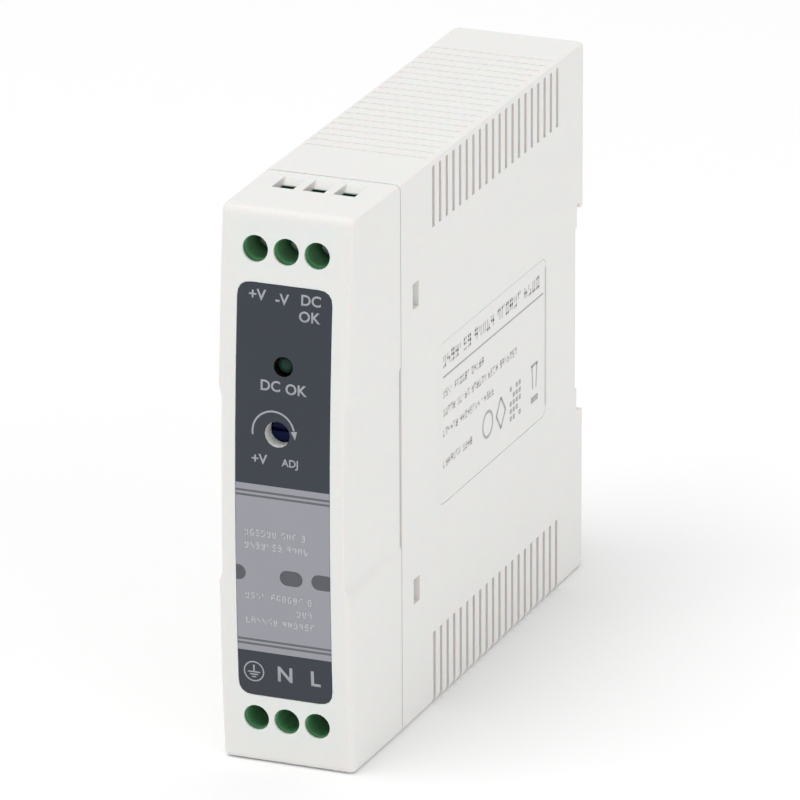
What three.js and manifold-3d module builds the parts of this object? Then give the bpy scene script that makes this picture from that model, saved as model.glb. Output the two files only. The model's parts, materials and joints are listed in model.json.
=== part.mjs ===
// A slim DIN rail power supply: a rear housing and a clip-on front cover around two terminal blocks,
// two circuit boards and their components, with a sprung latch that grips the lower edge of the rail.
// Millimetres. +X is to the right seen from the front, +Y runs back to the rail, +Z is up.
// The origin is the middle of the face that seats on the rail.
import * as THREE from "three";
import { mergeVertices } from "three/addons/utils/BufferGeometryUtils.js";
import Module from "manifold-3d";

const wasm = await Module();
wasm.setup();

// Overall size
const WIDTH = 22.5;
const HEIGHT = 90;
const DEPTH = 100;
const RAIL_OFFSET = 0.6; // rail centre line above the middle of the case

// Clearances
const GAP = 0.3; // between pieces that touch or slide
const FILM_GAP = 0.08; // between a label and the recess it sticks in

// Case walls and edges
const HOUSING_WALL = 1.6;
const COVER_WALL = 1.8;
const EDGE_RADIUS = 0.9;
const FRONT_EDGE_RADIUS = 1.4;
const COVER_LENGTH = 21; // front face to the parting line
const COVER_TAPER = 0.35; // how far each side of the cover leans in at the front
const BULGE_RADIUS = 450; // the front face is an arc in side view
const BULGE_DROP = 7.6; // its foremost point is this far below the rail centre line

// DIN rail, 35 mm top hat, and the notch it sits in
const RAIL_HEIGHT = 35;
const RAIL_FLANGE = 1;
const RAIL_PLAY = 0.3;
const SEAT_INSET = 3.4; // seat in front of the rear face
const HOOK_LIP = 0.85; // how far the fixed hook reaches over the rail's upper edge
const SEAT_PAD = 3.9; // height of the pad that each rail flange rests on
const PAD_RELIEF = 0.7;
const PLATEAU_WIDTH = 16; // the seat keeps its full height over this width

// Cooling slots. The lower ones wrap over the bottom edge; the upper ones stop short of the top edge,
// and shallow grooves carry their lines across the top.
const SLOT_PITCH = 2.8;
const SLOT_WIDTH = 1;
const EDGE_STRIP = 1; // plain strip along each top edge
const GROOVE_DEPTH = 0.15;
const SLOT_START = 34.4; // first slot behind the front face
const SLOT_END = 12; // none nearer the rear face than this
const SLOT_INSET = 10.9; // inner end of the slots below the top face
const SLOT_BITE = 0.3; // how far the slots cut into the board guides

// Snap windows of the front cover
const WINDOW_SETBACK = COVER_LENGTH + 6; // middle of a window behind the front face
const WINDOW_LENGTH = 2.5;
const WINDOW_HEIGHT = 4.2;
const WINDOW_RISE = 24.3; // above and below the middle of the four windows
const WINDOW_LIFT = 0.4; // that middle above the rail centre line
const TONGUE = 1.2; // thickness of the snap tongues
const BARB = 0.5; // how far a barb stands into its window

// Finger reliefs in the sides of the cover
const RELIEF_DEPTH = 0.8;
const RELIEF_HALF = 14.3;
const RELIEF_RAMP = 2.3;

// Terminals, three above and three below
const POLES = 3;
const POLE_PITCH = 5.08;
const POLE_WALL = 0.82; // between two screwdriver holes
const SCREW_INSET = 6.35; // upper screw axes below the top face
const ACCESS_WALL = 0.5; // the cover is this thin round the screwdriver holes
const ROOF_WALL = 1.2; // and this thin round the wire entries
const BLOCK_GAP = 0.3; // between the cover's front wall and a block
const BLOCK_LENGTH = 16.6;
const NOSE_WALL = 0.8; // green wall round the wells in the block's raised nose
const BLOCK_BELOW = 4.75; // a block from its screw axes inwards
const BLOCK_ABOVE = 4.25; // and outwards
const WELL_STEP = 0.1; // the well is this much tighter than the hole in front of it
const HEAD_GAP = 0.35;
const HEAD_DEPTH = 3.8; // head behind the front of the block
const HEAD_THICK = 1.2;
const SHELF = 0.6; // wall under the head
const SHANK_GAP = 0.15; // between a shank and the sides of its clamp
const SHANK_LENGTH = 4.6;
const CAGE_WALL = 1;
const CAGE_SIDE = 0.55;
const CAGE_LENGTH = 6.7;
const BAY_WALL = 0.68; // between two clamp bays
const BAY_GAP = 0.25;
const CAGE_HALF_HEIGHT = 2.2;
const CAGE_TRAVEL = 1.5;
const CONTACT_THICK = 0.8;
const CONTACT_GAP = 0.4; // between a contact and the sides of its clamp
const WIRE_LEAD = 0.4; // middle of a wire entry behind the contact
const ENTRY_WIDTH = 3.6;
const ENTRY_FRONT = 2.1; // front of a wire entry before its middle
const ENTRY_BACK = 2.2; // foot of its ramp behind its middle
const RAMP_BACK = 3.5; // top of its ramp behind its middle
const RAMP_DEPTH = 1;

// Front label and side label
const FILM = 0.2;
const LABEL_RECESS = 0.3;
const LABEL_WIDTH = 15.7;
const LABEL_BELOW = 11.4; // lower edge above the bottom face
const LABEL_ABOVE = 11.5; // upper edge below the top face
const LABEL_CORNER = 2.3;
const PLATE_START = 36.5; // side label, behind the front face
const PLATE_LENGTH = 46.4;
const PLATE_BOTTOM = -13.6;
const PLATE_TOP = 13.2;
const PLATE_CORNER = 2;

// Indicator and voltage trimmer
const LED_RISE = 20.1;
const LED_HOLE = 1.6; // in the label
const LED_BORE = 2.6; // in the cover behind it
const TRIM_OFFSET = -0.9;
const TRIM_RISE = 9.2;
const TRIM_HOLE = 2.1;
const TRIM_SHAFT = 1.8;
const TRIM_SHAFT_DEPTH = 2.8; // end of the shaft behind the front face
const TRIM_COLLAR = 3; // end of the cover's collar round the shaft behind the front face
const TRIM_COLLAR_WALL = 0.9;
const TRIM_BODY = 6.6;
const TRIM_HEIGHT = 6.4;
const LED_RADIUS = 1.5;
const LED_DEPTH = 0.6; // tip of the lens behind the front face
const LED_CROWN = 0.9; // height of its domed end
const LED_BODY = 5.2;

// Rail latch and its spring
const LATCH_TRAVEL = 3.5;
const LATCH_HALF = 5.7; // half width of the part seen from behind
const LATCH_FLANGE = 1.3; // guide flange on each side
const LATCH_BASE = 2.4; // thickness of the guide flanges
const LATCH_GRIP = 1.5; // how far the latch reaches over the rail's lower edge
const GUIDE_LIP = 1.9; // thickness of the case behind the guide flanges
const LATCH_FOOT = 0.4; // lower end above the bottom face
const SPRING_RADIUS = 1.45;
const SPRING_WIRE = 0.5;
const SPRING_TURNS = 5;
const SPRING_LENGTH = 9;
const PEG_RISE = 9; // top of the peg under the spring, above the bottom face
const PEG_THICK = 1.5;

// Circuit boards
const BOARD = 1.6;
const FRONT_BOARD_HALF = 7.8;
const GUIDE_DEPTH = 2;
const GUIDE_THICK = 1.2;

const BACK = SEAT_INSET;
const FRONT = BACK - DEPTH;
const SIDE = WIDTH / 2;
const BOTTOM = -HEIGHT / 2 - RAIL_OFFSET;
const TOP = HEIGHT / 2 - RAIL_OFFSET;
const PARTING = FRONT + COVER_LENGTH;
const INNER_SIDE = SIDE - HOUSING_WALL;
const NOTCH = (RAIL_HEIGHT + RAIL_PLAY) / 2;
const BEYOND = 2; // cutters run this far past a face

// The terminal rows stand the same distance above and below the rail centre line.
const SCREW_RISE = TOP - SCREW_INSET;
const SLOT_REACH = TOP - SLOT_INSET;
const ACCESS_RADIUS = (POLE_PITCH - POLE_WALL) / 2;
const WELL_RADIUS = ACCESS_RADIUS - WELL_STEP;
const HEAD_RADIUS = WELL_RADIUS - HEAD_GAP;
const BLOCK_INNER = SCREW_RISE - BLOCK_BELOW;
const BLOCK_OUTER = SCREW_RISE + BLOCK_ABOVE;
const BAY_HALF = (POLE_PITCH - BAY_WALL) / 2;
const CAGE_HALF_WIDTH = BAY_HALF - BAY_GAP;
const CAGE_CLEAR = CAGE_HALF_WIDTH - CAGE_SIDE;
const SHANK_RADIUS = CAGE_CLEAR - SHANK_GAP;
const TRIM_AT = [TRIM_OFFSET, TRIM_RISE];
const LABEL_BOTTOM = BOTTOM + LABEL_BELOW;
const LABEL_TOP = TOP - LABEL_ABOVE;

// Finishes
const FINISHES = {
  case_plastic: new THREE.MeshStandardMaterial({ color: 0xe9e8e3, roughness: 0.5, metalness: 0 }),
  label_film: new THREE.MeshStandardMaterial({ color: 0x484c55, roughness: 0.45, metalness: 0 }),
  label_paper: new THREE.MeshStandardMaterial({ color: 0xf0f0ee, roughness: 0.4, metalness: 0 }),
  latch_plastic: new THREE.MeshStandardMaterial({ color: 0xd9d8d2, roughness: 0.5, metalness: 0 }),
  terminal_green: new THREE.MeshStandardMaterial({ color: 0x2f7a45, roughness: 0.45, metalness: 0 }),
  plated_steel: new THREE.MeshStandardMaterial({ color: 0xb9bbbd, roughness: 0.3, metalness: 1 }),
  tinned_brass: new THREE.MeshStandardMaterial({ color: 0xc9c4b4, roughness: 0.35, metalness: 1 }),
  spring_steel: new THREE.MeshStandardMaterial({ color: 0x9a9c9f, roughness: 0.35, metalness: 1 }),
  board_green: new THREE.MeshStandardMaterial({ color: 0x1f5a35, roughness: 0.5, metalness: 0 }),
  led_green: new THREE.MeshStandardMaterial({ color: 0x2f8a55, roughness: 0.15, metalness: 0 }),
  trimmer_blue: new THREE.MeshStandardMaterial({ color: 0x1c2450, roughness: 0.4, metalness: 0 }),
  black_plastic: new THREE.MeshStandardMaterial({ color: 0x1a1a1c, roughness: 0.5, metalness: 0 }),
  ferrite: new THREE.MeshStandardMaterial({ color: 0x3a3a3d, roughness: 0.6, metalness: 0 }),
  tape_yellow: new THREE.MeshStandardMaterial({ color: 0xd6b23a, roughness: 0.5, metalness: 0 }),
  capacitor_sleeve: new THREE.MeshStandardMaterial({ color: 0x20242e, roughness: 0.35, metalness: 0 }),
  ceramic_blue: new THREE.MeshStandardMaterial({ color: 0x2b5a9a, roughness: 0.4, metalness: 0 }),
  heatsink: new THREE.MeshStandardMaterial({ color: 0xa8abad, roughness: 0.45, metalness: 1 }),
  copper_wire: new THREE.MeshStandardMaterial({ color: 0xb06a35, roughness: 0.4, metalness: 1 }),
};

// Shapes and solids

function solidOf(geometry) {
  const bare = geometry.clone();
  bare.deleteAttribute("normal");
  bare.deleteAttribute("uv");
  const merged = mergeVertices(bare, 1e-4);
  return new wasm.Manifold(
    new wasm.Mesh({
      numProp: 3,
      vertProperties: new Float32Array(merged.attributes.position.array),
      triVerts: new Uint32Array(merged.index.array),
    }),
  );
}

function meshOf(name, solid, finish) {
  const made = solid.getMesh();
  const geometry = new THREE.BufferGeometry();
  geometry.setAttribute("position", new THREE.BufferAttribute(made.vertProperties, 3));
  geometry.setIndex(new THREE.BufferAttribute(made.triVerts, 1));
  geometry.computeVertexNormals();
  const mesh = new THREE.Mesh(geometry, FINISHES[finish]);
  mesh.name = name;
  return mesh;
}

// A box between two values on each axis, in either order.
function box([x0, x1], [y0, y1], [z0, z1]) {
  const geometry = new THREE.BoxGeometry(Math.abs(x1 - x0), Math.abs(y1 - y0), Math.abs(z1 - z0));
  geometry.translate((x0 + x1) / 2, (y0 + y1) / 2, (z0 + z1) / 2);
  return solidOf(geometry);
}

// A cylinder from one value to another along an axis, at the two other coordinates in X, Y, Z order.
function rod(axis, radius, [from, to], [a, b], sides = 16) {
  const geometry = new THREE.CylinderGeometry(radius, radius, Math.abs(to - from), sides);
  const middle = (from + to) / 2;
  if (axis === "x") geometry.rotateZ(Math.PI / 2).translate(middle, a, b);
  if (axis === "y") geometry.translate(a, middle, b);
  if (axis === "z") geometry.rotateX(Math.PI / 2).translate(a, b, middle);
  return solidOf(geometry);
}

// An outline whose corners are [u, v] or [u, v, radius].
function outline(corners) {
  const shape = new THREE.Shape();
  const count = corners.length;
  corners.forEach(([u, v, radius = 0], i) => {
    const here = new THREE.Vector2(u, v);
    const before = new THREE.Vector2(...corners[(i + count - 1) % count]);
    const after = new THREE.Vector2(...corners[(i + 1) % count]);
    const start = here.clone().add(before.sub(here).setLength(radius));
    const end = here.clone().add(after.sub(here).setLength(radius));
    if (i === 0) shape.moveTo(start.x, start.y);
    else shape.lineTo(start.x, start.y);
    if (radius > 0) shape.quadraticCurveTo(u, v, end.x, end.y);
  });
  shape.closePath();
  return shape;
}

function roundedRectangle(u0, u1, v0, v1, radius) {
  return outline([
    [u0, v0, radius],
    [u1, v0, radius],
    [u1, v1, radius],
    [u0, v1, radius],
  ]);
}

const FROM_SIDE = new THREE.Matrix4().makeBasis(
  new THREE.Vector3(0, 1, 0),
  new THREE.Vector3(0, 0, 1),
  new THREE.Vector3(1, 0, 0),
);
const FROM_FRONT = new THREE.Matrix4().makeBasis(
  new THREE.Vector3(1, 0, 0),
  new THREE.Vector3(0, 0, 1),
  new THREE.Vector3(0, -1, 0),
);

// A side view outline (y, z) extruded from x0 to x1, with its end edges rounded when a radius is given.
function alongX(shape, x0, x1, round = 0, steps = 4) {
  const geometry = new THREE.ExtrudeGeometry(shape, {
    depth: x1 - x0 - 2 * round,
    curveSegments: steps,
    bevelEnabled: round > 0,
    bevelThickness: round,
    bevelSize: round,
    bevelOffset: -round,
    bevelSegments: 2,
  });
  geometry.translate(0, 0, x0 + round);
  return geometry.applyMatrix4(FROM_SIDE);
}

// A front view outline (x, z) extruded from y0 back to y1.
function alongY(shape, y0, y1, steps = 4) {
  const geometry = new THREE.ExtrudeGeometry(shape, {
    depth: y1 - y0,
    curveSegments: steps,
    bevelEnabled: false,
  });
  geometry.translate(0, 0, -y1);
  return geometry.applyMatrix4(FROM_FRONT);
}

function alongZ(shape, z0, z1, steps = 4) {
  const geometry = new THREE.ExtrudeGeometry(shape, {
    depth: z1 - z0,
    curveSegments: steps,
    bevelEnabled: false,
  });
  return geometry.translate(0, 0, z0);
}

function union(solids) {
  return solids.reduce((sum, solid) => sum.add(solid));
}

// The front face's y at a height.
function faceAt(z) {
  const up = z + BULGE_DROP;
  return FRONT + BULGE_RADIUS - Math.sqrt(BULGE_RADIUS ** 2 - up ** 2);
}

// Side view outline of the cover, inset from its outer surface, running back past the parting line.
function coverOutline(inset, backTo) {
  const low = BOTTOM + inset;
  const high = TOP - inset;
  const round = Math.max(FRONT_EDGE_RADIUS - inset, 0.3);
  const turn = (z) => Math.asin((z + BULGE_DROP) / (BULGE_RADIUS - inset));
  const shape = new THREE.Shape();
  shape.moveTo(backTo, low);
  shape.lineTo(backTo, high);
  shape.lineTo(faceAt(high) + inset + round, high);
  shape.quadraticCurveTo(faceAt(high) + inset, high, faceAt(high - round) + inset, high - round);
  shape.absarc(
    FRONT + BULGE_RADIUS,
    -BULGE_DROP,
    BULGE_RADIUS - inset,
    Math.PI - turn(high - round),
    Math.PI - turn(low + round),
    false,
  );
  shape.quadraticCurveTo(faceAt(low) + inset, low, faceAt(low) + inset + round, low);
  shape.closePath();
  return shape;
}

// Leans the sides of a cover geometry in towards the front.
function taper(geometry) {
  const position = geometry.attributes.position;
  for (let i = 0; i < position.count; i++) {
    const ahead = (PARTING - position.getY(i)) / COVER_LENGTH;
    position.setX(i, position.getX(i) * (1 - (ahead * COVER_TAPER) / SIDE));
  }
  return geometry;
}

// The x of each pole, left to right.
const POLE_X = Array.from({ length: POLES }, (_, i) => (i - (POLES - 1) / 2) * POLE_PITCH);
const NOSE_INNER = SCREW_RISE - WELL_RADIUS - NOSE_WALL;
const BLOCK_FRONT = faceAt(NOSE_INNER) + COVER_WALL + BLOCK_GAP;
const BLOCK_HALF = (POLES * POLE_PITCH) / 2;
const BLOCK_BACK = BLOCK_FRONT + BLOCK_LENGTH;
const HEAD_FRONT = BLOCK_FRONT + HEAD_DEPTH;
const HEAD_BACK = HEAD_FRONT + HEAD_THICK;
const BAY_FRONT = HEAD_BACK + GAP + SHELF;
const CAGE_FRONT = BAY_FRONT + GAP + CAGE_TRAVEL;
const CAGE_BACK = CAGE_FRONT + CAGE_LENGTH;
const BAY_BACK = CAGE_BACK + GAP;
const BOARD_FRONT = BLOCK_BACK + GAP;
const BOARD_BACK = BOARD_FRONT + BOARD;
const SHANK_TIP = HEAD_BACK + SHANK_LENGTH;
const CONTACT_FRONT = SHANK_TIP + GAP;
const WIRE_Y = CONTACT_FRONT + CONTACT_THICK + WIRE_LEAD;
const CONTACT_FOOT = BLOCK_INNER + 1;
const BAY_INNER = CONTACT_FOOT - GAP;

// The front of a block's nose, which stands close behind the thin part of the cover.
function noseFront(level) {
  return faceAt(level * BLOCK_OUTER) + ACCESS_WALL + BLOCK_GAP;
}

// Case

const SLOT_COUNT = 1 + Math.round((DEPTH - SLOT_END - SLOT_START) / SLOT_PITCH);
const SLOT_SPAN = Array.from({ length: SLOT_COUNT }, (_, i) => {
  const middle = FRONT + SLOT_START + i * SLOT_PITCH;
  return [middle - SLOT_WIDTH / 2, middle + SLOT_WIDTH / 2];
});

function coolingSlots() {
  const across = [-SIDE - BEYOND, SIDE + BEYOND];
  const cuts = [];
  for (const span of SLOT_SPAN) {
    cuts.push(box([-SIDE + EDGE_STRIP, SIDE - EDGE_STRIP], span, [TOP - GROOVE_DEPTH, TOP + BEYOND]));
    cuts.push(box(across, span, [BOTTOM + HOUSING_WALL + SLOT_BITE, BOTTOM - BEYOND]));
    for (const side of [-1, 1]) {
      const through = [side * (INNER_SIDE - SLOT_BITE), side * (SIDE + BEYOND)];
      cuts.push(box(through, span, [SLOT_REACH, TOP - EDGE_STRIP]));
      cuts.push(box(through, span, [-SLOT_REACH, BOTTOM - BEYOND]));
    }
  }
  return union(cuts);
}

const LATCH_BACK = -GUIDE_LIP - GAP; // rear face of the guide flanges
const LATCH_FRONT = LATCH_BACK - LATCH_BASE;
const LATCH_WALL = LATCH_FRONT - GAP; // front face of the latch channel
const LATCH_STOP = -NOTCH - 1; // top of the guide channel
const MOUTH = BACK + BEYOND;

function railNotch() {
  const pocket = RAIL_FLANGE + RAIL_PLAY;
  const profile = outline([
    [0, NOTCH],
    [0, -NOTCH],
    [BACK - 1, -NOTCH - 0.3],
    [BACK, -NOTCH - 0.9],
    [MOUTH, -NOTCH - 2.1],
    [MOUTH, NOTCH - HOOK_LIP - 0.2],
    [pocket, NOTCH - HOOK_LIP],
    [pocket, NOTCH],
  ]);
  const notch = solidOf(alongX(profile, -SIDE - BEYOND, SIDE + BEYOND));
  const reliefSpan = [-NOTCH + SEAT_PAD, NOTCH - SEAT_PAD];
  const reliefs = [-1, 1].map((side) =>
    box([(side * PLATEAU_WIDTH) / 2, side * (SIDE + BEYOND)], [-PAD_RELIEF, 1], reliefSpan),
  );
  return union([notch, ...reliefs]);
}

function latchChannel() {
  const wide = LATCH_HALF + LATCH_FLANGE + GAP;
  const narrow = LATCH_HALF + GAP;
  const guide = box([-wide, wide], [LATCH_WALL, -GUIDE_LIP], [BOTTOM - BEYOND, LATCH_STOP]);
  const mouth = box([-narrow, narrow], [-GUIDE_LIP - 1, MOUTH], [BOTTOM - BEYOND, -NOTCH + 0.5]);
  const pegTop = BOTTOM + PEG_RISE;
  const peg = box(
    [-SPRING_RADIUS, SPRING_RADIUS],
    [LATCH_WALL - 1, LATCH_WALL + GAP + 2 * SPRING_RADIUS],
    [pegTop - PEG_THICK, pegTop],
  );
  return guide.add(mouth).subtract(peg);
}

const WINDOW_FRONT = FRONT + WINDOW_SETBACK - WINDOW_LENGTH / 2;
const WINDOW_BACK = WINDOW_FRONT + WINDOW_LENGTH;

function windowAt(level) {
  return level * WINDOW_RISE + WINDOW_LIFT;
}

function snapWindows() {
  const cuts = [];
  for (const side of [-1, 1]) {
    for (const level of [-1, 1]) {
      const middle = windowAt(level);
      const z = [middle - WINDOW_HEIGHT / 2, middle + WINDOW_HEIGHT / 2];
      cuts.push(box([side * (INNER_SIDE - 1), side * (SIDE + BEYOND)], [WINDOW_FRONT, WINDOW_BACK], z));
    }
  }
  return union(cuts);
}

const MAIN_BOARD_LEFT = -INNER_SIDE + GAP;
const MAIN_BOARD_RIGHT = MAIN_BOARD_LEFT + BOARD;
const CAVITY_BACK = LATCH_WALL - HOUSING_WALL;
const TONGUE_END = WINDOW_BACK + 1.5;
const TONGUE_HALF = WINDOW_HEIGHT / 2 + 0.6;
const SEAT_WALL = -PAD_RELIEF - HOUSING_WALL;

function housing() {
  const rearCorner = 1.2;
  const body = outline([
    [PARTING - 6, BOTTOM],
    [BACK, BOTTOM, rearCorner],
    [BACK, TOP, rearCorner],
    [PARTING - 6, TOP],
  ]);
  const shell = solidOf(alongX(body, -SIDE, SIDE, EDGE_RADIUS));
  const rear = box([-SIDE, SIDE], [PARTING, BACK], [BOTTOM, TOP]);
  const cavity = outline([
    [PARTING - 7, BOTTOM + HOUSING_WALL],
    [CAVITY_BACK, BOTTOM + HOUSING_WALL],
    [CAVITY_BACK, -NOTCH + HOUSING_WALL],
    [SEAT_WALL, -NOTCH + HOUSING_WALL],
    [SEAT_WALL, NOTCH + HOUSING_WALL],
    [BACK - HOUSING_WALL, NOTCH + HOUSING_WALL],
    [BACK - HOUSING_WALL, TOP - HOUSING_WALL],
    [PARTING - 7, TOP - HOUSING_WALL],
  ]);
  const hollow = solidOf(alongX(cavity, -INNER_SIDE, INNER_SIDE));
  const guides = [];
  const run = [TONGUE_END + 1, CAVITY_BACK + 0.5];
  for (const x of [MAIN_BOARD_RIGHT + GAP, -MAIN_BOARD_RIGHT - GAP - GUIDE_THICK]) {
    const across = [x, x + GUIDE_THICK];
    guides.push(box(across, run, [TOP - HOUSING_WALL + 0.3, TOP - HOUSING_WALL - GUIDE_DEPTH]));
    guides.push(box(across, run, [BOTTOM + HOUSING_WALL - 0.3, BOTTOM + HOUSING_WALL + GUIDE_DEPTH]));
  }
  const recess = solidOf(alongX(plateOutline(0), SIDE - LABEL_RECESS, SIDE + BEYOND));
  return shell
    .intersect(rear)
    .subtract(hollow)
    .add(union(guides))
    .subtract(coolingSlots())
    .subtract(railNotch())
    .subtract(latchChannel())
    .subtract(snapWindows())
    .subtract(recess);
}

function snapTongue(side, level) {
  const outer = INNER_SIDE - GAP;
  const inner = outer - TONGUE;
  const middle = windowAt(level);
  const tall = [middle - TONGUE_HALF, middle + TONGUE_HALF];
  const root = box([side * inner, side * (INNER_SIDE + 0.4)], [PARTING - 5, PARTING - GAP], tall);
  const blade = box([side * inner, side * outer], [PARTING - 4, TONGUE_END], tall);
  const barbHalf = WINDOW_HEIGHT / 2 - GAP;
  const barb = box(
    [side * inner, side * (INNER_SIDE + BARB)],
    [WINDOW_FRONT + GAP, WINDOW_BACK - GAP],
    [middle - barbHalf, middle + barbHalf],
  );
  return union([root, blade, barb]);
}

function fingerRelief(side) {
  const far = SIDE + BEYOND;
  const floor = SIDE - COVER_TAPER - RELIEF_DEPTH;
  const edge = RELIEF_HALF + (RELIEF_RAMP * (far - floor)) / RELIEF_DEPTH;
  const profile = outline([
    [floor, -RELIEF_HALF],
    [far, -edge],
    [far, edge],
    [floor, RELIEF_HALF],
  ]);
  const geometry = alongY(profile, FRONT - BEYOND, PARTING + BEYOND);
  const lean = (COVER_TAPER + RELIEF_DEPTH - 0.25) / COVER_LENGTH;
  const position = geometry.attributes.position;
  for (let i = 0; i < position.count; i++) {
    const out = position.getX(i) + (position.getY(i) - FRONT) * lean;
    position.setX(i, out);
  }
  const solid = solidOf(geometry);
  return side > 0 ? solid : solid.mirror([1, 0, 0]);
}

// A pocket that leads a wire down into its terminal, above (level 1) or below (level -1).
function wireEntry(x, level) {
  const face = level > 0 ? TOP : BOTTOM;
  const within = face - level * (COVER_WALL + 1);
  const profile = outline([
    [WIRE_Y - ENTRY_FRONT, face + level * BEYOND],
    [WIRE_Y - ENTRY_FRONT, within],
    [WIRE_Y + ENTRY_BACK, within],
    [WIRE_Y + ENTRY_BACK, face - level * RAMP_DEPTH],
    [WIRE_Y + RAMP_BACK, face],
    [WIRE_Y + RAMP_BACK, face + level * BEYOND],
  ]);
  const half = ENTRY_WIDTH / 2;
  return solidOf(alongX(profile, x - half, x + half));
}

// Room for a terminal block: the cover is thinner in front of its nose and beside its wire entries.
function blockRelief(level) {
  const half = BLOCK_HALF + 2 * GAP;
  const across = [-half, half];
  const thin = solidOf(taper(alongX(coverOutline(ACCESS_WALL, PARTING), -half, half, 0, 10)));
  const nose = box(across, [FRONT, BLOCK_FRONT + 1], [level * (NOSE_INNER - GAP), level * (BLOCK_OUTER + GAP)]);
  const face = level > 0 ? TOP : BOTTOM;
  const roof = box(
    across,
    [WIRE_Y - ENTRY_FRONT - 1, BLOCK_BACK - 1],
    [face - level * ROOF_WALL, face - level * (COVER_WALL + 0.5)],
  );
  return thin.intersect(nose).add(roof);
}

function cover() {
  const outer = taper(alongX(coverOutline(0, PARTING + 5), -SIDE, SIDE, EDGE_RADIUS, 10));
  const half = SIDE - COVER_WALL;
  const inner = taper(alongX(coverOutline(COVER_WALL, PARTING + 6), -half, half, 0, 10));
  const front = box([-SIDE, SIDE], [FRONT - 1, PARTING - GAP], [BOTTOM, TOP]);
  const through = [FRONT - BEYOND, FRONT + 6];
  const cuts = [];
  for (const level of [-1, 1]) {
    for (const x of POLE_X) {
      cuts.push(rod("y", ACCESS_RADIUS, through, [x, level * SCREW_RISE], 20));
      cuts.push(wireEntry(x, level));
    }
    cuts.push(blockRelief(level));
  }
  cuts.push(rod("y", LED_BORE, through, [0, LED_RISE]));
  cuts.push(rod("y", TRIM_HOLE, through, TRIM_AT));
  cuts.push(fingerRelief(1));
  cuts.push(fingerRelief(-1));
  cuts.push(filmBand(0, -LABEL_RECESS - BEYOND, LABEL_RECESS));
  const collarSpan = [FRONT + COVER_WALL / 2, FRONT + TRIM_COLLAR];
  const collar = rod("y", TRIM_HOLE + TRIM_COLLAR_WALL, collarSpan, TRIM_AT);
  const tongues = [];
  for (const side of [-1, 1]) {
    for (const level of [-1, 1]) tongues.push(snapTongue(side, level));
  }
  return solidOf(outer)
    .intersect(front)
    .subtract(solidOf(inner))
    .add(collar)
    .subtract(union(cuts))
    .add(union(tongues));
}

// Labels

// The front label's outline as a band that follows the bulge, between two depths behind the face.
function filmBand(margin, from, to) {
  const half = LABEL_WIDTH / 2 - margin;
  const face = roundedRectangle(
    -half,
    half,
    LABEL_BOTTOM + margin,
    LABEL_TOP - margin,
    LABEL_CORNER - margin,
  );
  const column = solidOf(alongY(face, FRONT - BEYOND - 1, FRONT + 6));
  const arc = new THREE.Shape();
  const angle = (z) => Math.asin((z + BULGE_DROP) / BULGE_RADIUS);
  const low = Math.PI - angle(LABEL_BOTTOM - 1);
  const high = Math.PI - angle(LABEL_TOP + 1);
  arc.absarc(FRONT + BULGE_RADIUS, -BULGE_DROP, BULGE_RADIUS - from, high, low, false);
  arc.absarc(FRONT + BULGE_RADIUS, -BULGE_DROP, BULGE_RADIUS - to, low, high, true);
  arc.closePath();
  return column.intersect(solidOf(alongX(arc, -SIDE, SIDE, 0, 8)));
}

function frontLabel() {
  const through = [FRONT - BEYOND, FRONT + 6];
  const back = LABEL_RECESS - FILM_GAP;
  return filmBand(FILM_GAP, back - FILM, back)
    .subtract(rod("y", LED_HOLE, through, [0, LED_RISE]))
    .subtract(rod("y", TRIM_HOLE, through, TRIM_AT));
}

function plateOutline(margin) {
  return roundedRectangle(
    FRONT + PLATE_START + margin,
    FRONT + PLATE_START + PLATE_LENGTH - margin,
    PLATE_BOTTOM + margin,
    PLATE_TOP - margin,
    PLATE_CORNER - margin,
  );
}

function sideLabel() {
  const inner = SIDE - LABEL_RECESS + FILM_GAP;
  return solidOf(alongX(plateOutline(FILM_GAP), inner, inner + FILM));
}

// Terminals: every piece is drawn for the upper row and turned over for the lower one.

function terminalBlock(level) {
  const across = [-BLOCK_HALF, BLOCK_HALF];
  const front = noseFront(level);
  const body = box(across, [BLOCK_FRONT, BLOCK_BACK], [level * BLOCK_INNER, level * BLOCK_OUTER]);
  const nose = box(across, [front, BLOCK_FRONT + 1], [level * NOSE_INNER, level * BLOCK_OUTER]);
  const axis = level * SCREW_RISE;
  const cuts = [];
  for (const x of POLE_X) {
    const bay = [x - BAY_HALF, x + BAY_HALF];
    const slot = [x - 0.5 - GAP, x + 0.5 + GAP];
    cuts.push(rod("y", WELL_RADIUS, [front - 1, HEAD_BACK + GAP], [x, axis], 20));
    cuts.push(rod("y", SHANK_RADIUS + GAP, [HEAD_BACK, BAY_FRONT + 1], [x, axis], 12));
    cuts.push(box(bay, [BAY_FRONT, BAY_BACK], [level * BAY_INNER, level * (BLOCK_OUTER + 1)]));
    cuts.push(box(slot, [CONTACT_FRONT, BLOCK_BACK + 1], [level * BAY_INNER, level * (CONTACT_FOOT + 1.1)]));
  }
  return body.add(nose).subtract(union(cuts));
}

function terminalScrew(x, level) {
  const axis = level * SCREW_RISE;
  const head = rod("y", HEAD_RADIUS, [HEAD_FRONT, HEAD_BACK], [x, axis]);
  const shank = rod("y", SHANK_RADIUS, [HEAD_BACK - 0.1, SHANK_TIP], [x, axis], 12);
  const slotDepth = [HEAD_FRONT - 1, HEAD_FRONT + 0.8];
  const slot = box([x - HEAD_RADIUS - 1, x + HEAD_RADIUS + 1], slotDepth, [axis - 0.3, axis + 0.3]);
  const cross = box([x - 0.3, x + 0.3], slotDepth, [axis - 1.1, axis + 1.1]);
  return head.add(shank).subtract(slot).subtract(cross);
}

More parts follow.
